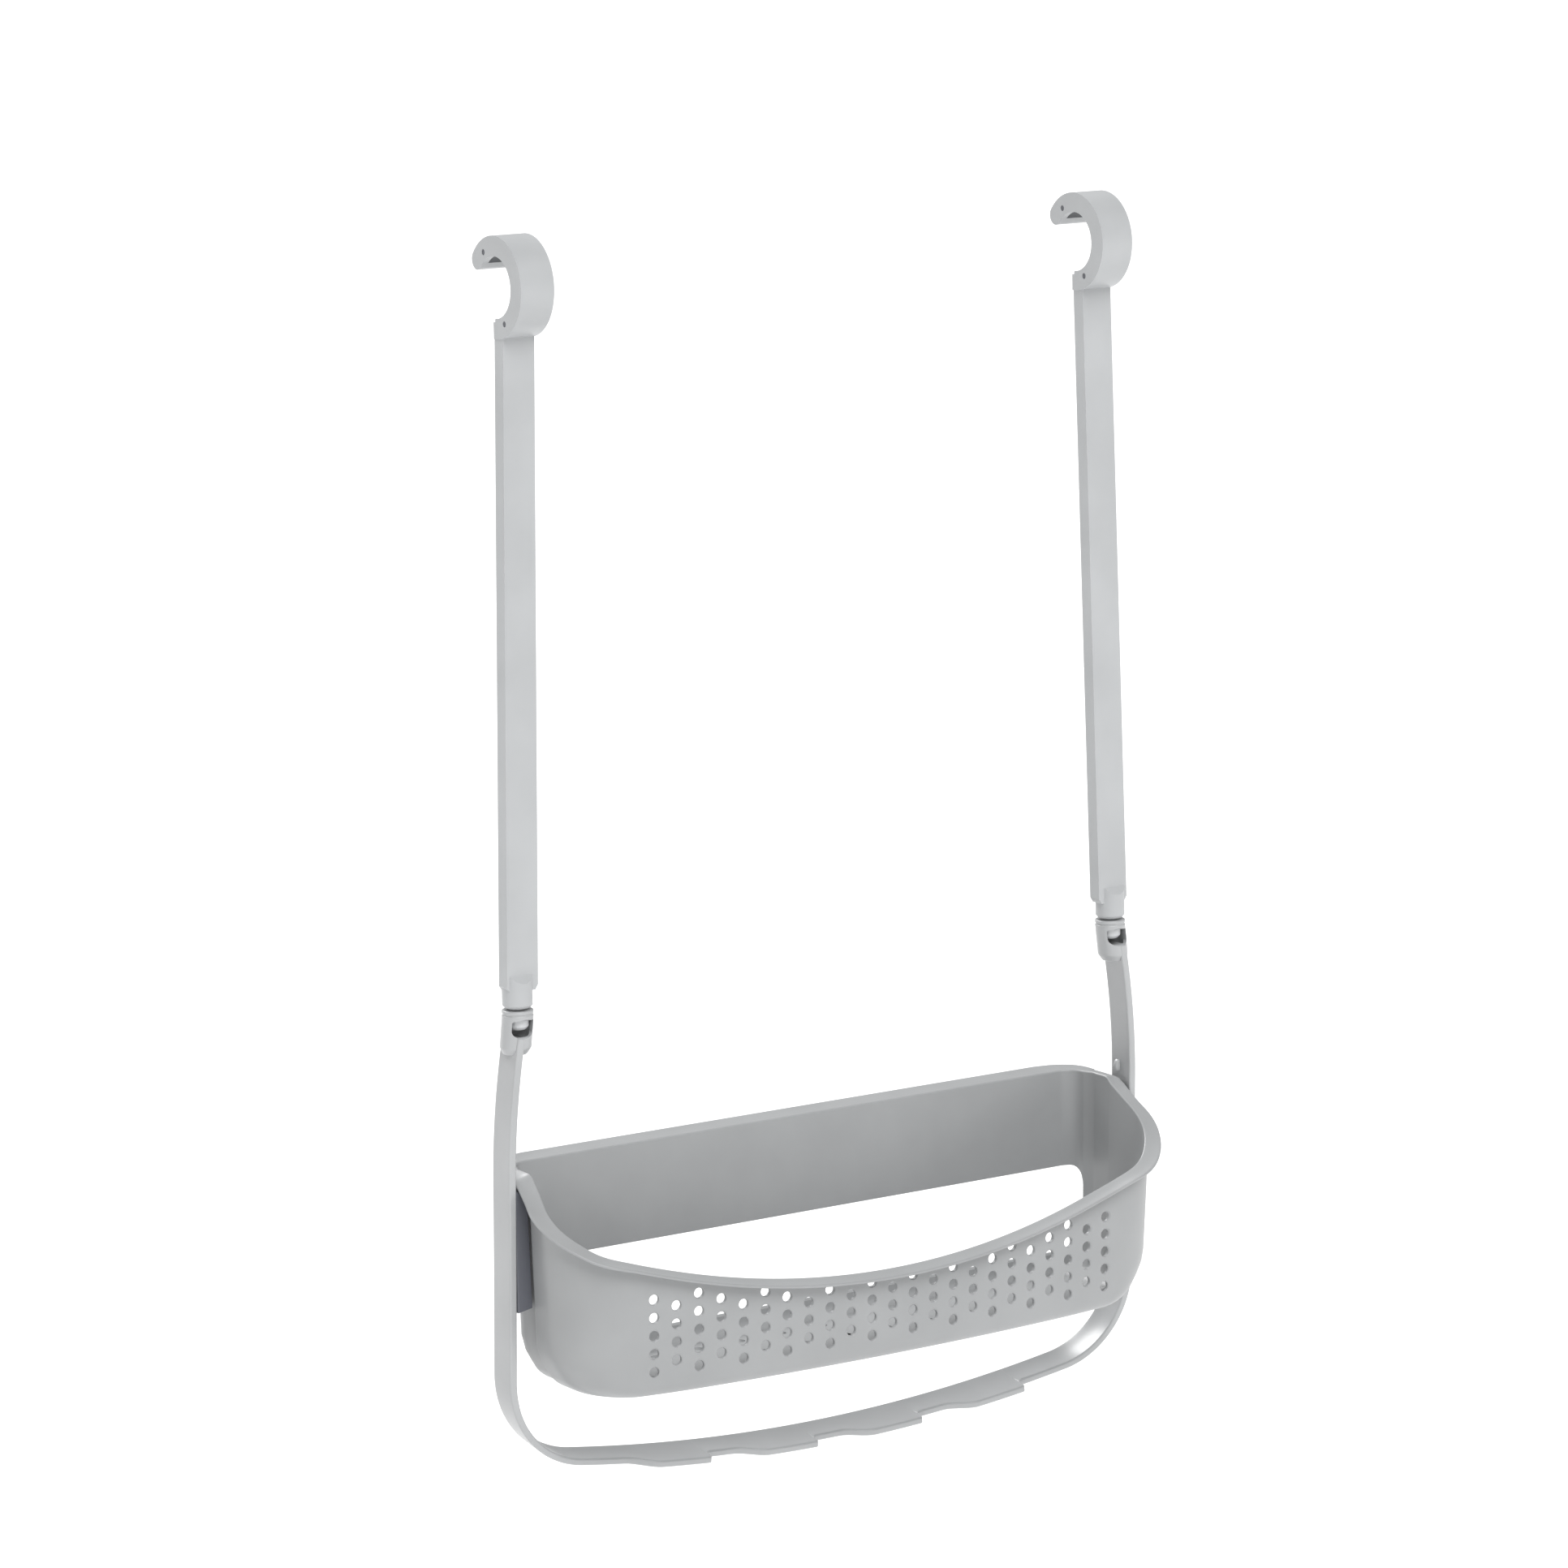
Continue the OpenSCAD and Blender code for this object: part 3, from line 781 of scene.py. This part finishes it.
def collar(side, word):
    """The hollow collar at a strip's top, which the arm's pin turns in."""
    foot = -COLLAR_H - FOOT_PLUG
    roof = -NECK_H - HEAD_ROOM_H
    inner = COLLAR_R - GROOVE
    bore = PIN_R + 0.05
    outside = [(0, foot), (5.2, foot), (COLLAR_R, -COLLAR_H - 0.4), (COLLAR_R, -2.4), (inner, -2.1),
               (inner, -1.7), (COLLAR_R, -1.4), (COLLAR_R, 0)]
    inside = [(PIN_R + 0.25, 0), (bore, -0.4), (bore, -NECK_H), (HEAD_ROOM_R, -NECK_H), (HEAD_ROOM_R, roof),
              (0, roof)]
    me = lathe_mesh("collar", (side * SWIVEL_X, MID_Y, COLLAR_TOP), rounded(outside + inside, 0.7), 64)
    loops = []
    for y, grow in WINDOW_STEPS:
        loops.append([(side * SWIVEL_X + px, MID_Y + y, COLLAR_TOP + pz) for px, pz in window_shape(grow)])
    tool = loft_mesh("collar_tool", loops)
    finish_mesh(tool)
    me = cut("collar_" + word, me, tool)
    for v in me.vertices:
        v.co.x += side * COLLAR_LEAN * max(0.0, (COLLAR_TOP - NECK_H) * MM - v.co.z)
    finish_mesh(me, 40)
    ob = weighted(piece("collar_" + word, me, BAIL))
    return place(ob, "bail", "shell_plastic")


for side, word in SIDES:
    collar(side, word)


# Levels of a lug, as (height above its foot, how far it stands out, half its depth)
LUG_LEVELS = ((0.0, 2.0, 1.2), (0.25, 2.3, 1.4), (3.0, 2.3, 1.4), (4.6, 1.6, 1.3), (5.4, 0.7, 1.1))
LUG_ROOT = 0.8         # how far a lug's root reaches into the strip
LUG_BEVEL = 0.4


def snap_lug(side, word):
    """Small wedge on the strip's inner face, just above the rim."""
    z0 = RIM_Z + 0.6
    y = MID_Y + bail_back(z0) + 1.6
    loops = []
    for dz, out, half in LUG_LEVELS:
        root = strip_x(z0 + dz) - STRIP_T + LUG_ROOT
        tip = strip_x(z0 + dz) - STRIP_T - out
        near, far = y - half, y + half
        ring = [(root, near), (tip + LUG_BEVEL, near), (tip, near + LUG_BEVEL),
                (tip, far - LUG_BEVEL), (tip + LUG_BEVEL, far), (root, far)]
        loops.append([(side * px, py, z0 + dz) for px, py in ring])
    me = loft_mesh("lug_" + word, loops)
    finish_mesh(me, 50)
    place(piece("lug_" + word, me, BAIL), "bail", "shell_plastic")


for side, word in SIDES:
    snap_lug(side, word)

# ---------- CAD nodes with rounded edges ----------

def softened_node(node, name, body, slot, mat, width, segments=3):
    """Stands in for a CAD node with the same shape, its edges rounded to width."""
    me = soften(name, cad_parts[node].data.copy(), width, segments)
    return place(weighted(piece(name, me, mat)), body, slot, node)


for side, word in SIDES:
    softened_node("hook_arm_" + word, "arm_" + word, "arm_" + word, "shell_plastic", ARM, 0.9)
    softened_node("side_bracket_" + word, "bracket_" + word, "bail", "bracket_plastic", BRACKET_DARK_AND_PAINTED_SHADE, 0.6)
    softened_node("swivel_pin_" + word, "pin_" + word, "arm_" + word, "pin_plastic", PIN, 0.35, 2)
    for node, mat in (("hook_liner_", LINER), ("liner_dowels_", DOWEL)):
        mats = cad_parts[node + word].data.materials
        if mats:
            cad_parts[node + word].material_slots[0].material = mat
        else:
            mats.append(mat)

# ---------- floor, light and camera ----------

def stage_material():
    mat = bpy.data.materials.new("floor_white")
    mat.use_nodes = True
    shader = mat.node_tree.nodes["Principled BSDF"]
    shader.inputs["Base Color"].default_value = (0.95, 0.95, 0.95, 1)
    shader.inputs["Roughness"].default_value = 0.9
    shader.inputs["Specular IOR Level"].default_value = 0.1
    return mat


FLOOR_HALF = 40.0      # the floor and everything below is in metres
FLOOR_LEVEL = -1.0
floor_me = bpy.data.meshes.new("floor")
corners = ((-1, -1), (1, -1), (1, 1), (-1, 1))
floor_me.from_pydata([(x * FLOOR_HALF, y * FLOOR_HALF, FLOOR_LEVEL) for x, y in corners], [], [(0, 1, 2, 3)])
floor_me.materials.append(stage_material())
floor = bpy.data.objects.new("floor", floor_me)
bpy.context.scene.collection.objects.link(floor)

world = bpy.data.worlds.new("studio")
world.use_nodes = True
background = world.node_tree.nodes["Background"]
background.inputs["Color"].default_value = (1.0, 1.0, 1.0, 1)
background.inputs["Strength"].default_value = 0.38
bpy.context.scene.world = world


def sun(name, direction, strength, spread):
    """A distant soft light; spread is its apparent size in degrees."""
    data = bpy.data.lights.new(name, "SUN")
    data.energy = strength
    data.angle = math.radians(spread)
    ob = bpy.data.objects.new(name, data)
    ob.rotation_euler = Vector(direction).to_track_quat("-Z", "Y").to_euler()
    bpy.context.scene.collection.objects.link(ob)


sun("key", (0.1, 0.85, -1.0), 2.25, 40)
sun("back", (0.1, -0.9, -0.9), 2.6, 30)

YAW, PITCH, ROLL = math.radians(33.0), math.radians(10.22), math.radians(-1.0373)
CAMERA_AT = Vector((-1.4785, -2.2495, 0.2541))
SENSOR_W = 36.0
FOCAL_RATIO = 7600 / 1932      # focal length over the sensor's width, both in pixels of the picture
look = Vector((math.sin(YAW) * math.cos(PITCH), math.cos(YAW) * math.cos(PITCH), -math.sin(PITCH)))
flat = Vector((math.cos(YAW), -math.sin(YAW), 0))
upright = flat.cross(look)
across = flat * math.cos(ROLL) + upright * math.sin(ROLL)
up = upright * math.cos(ROLL) - flat * math.sin(ROLL)
cam_data = bpy.data.cameras.new("camera")
cam_data.sensor_width = SENSOR_W
cam_data.lens = FOCAL_RATIO * SENSOR_W
cam_data.clip_end = 200
camera = bpy.data.objects.new("camera", cam_data)
camera.matrix_world = Matrix((
    (across.x, up.x, -look.x, CAMERA_AT.x),
    (across.y, up.y, -look.y, CAMERA_AT.y),
    (across.z, up.z, -look.z, CAMERA_AT.z),
    (0, 0, 0, 1)))
bpy.context.scene.collection.objects.link(camera)
bpy.context.scene.camera = camera
bpy.context.scene.view_settings.view_transform = "Standard"
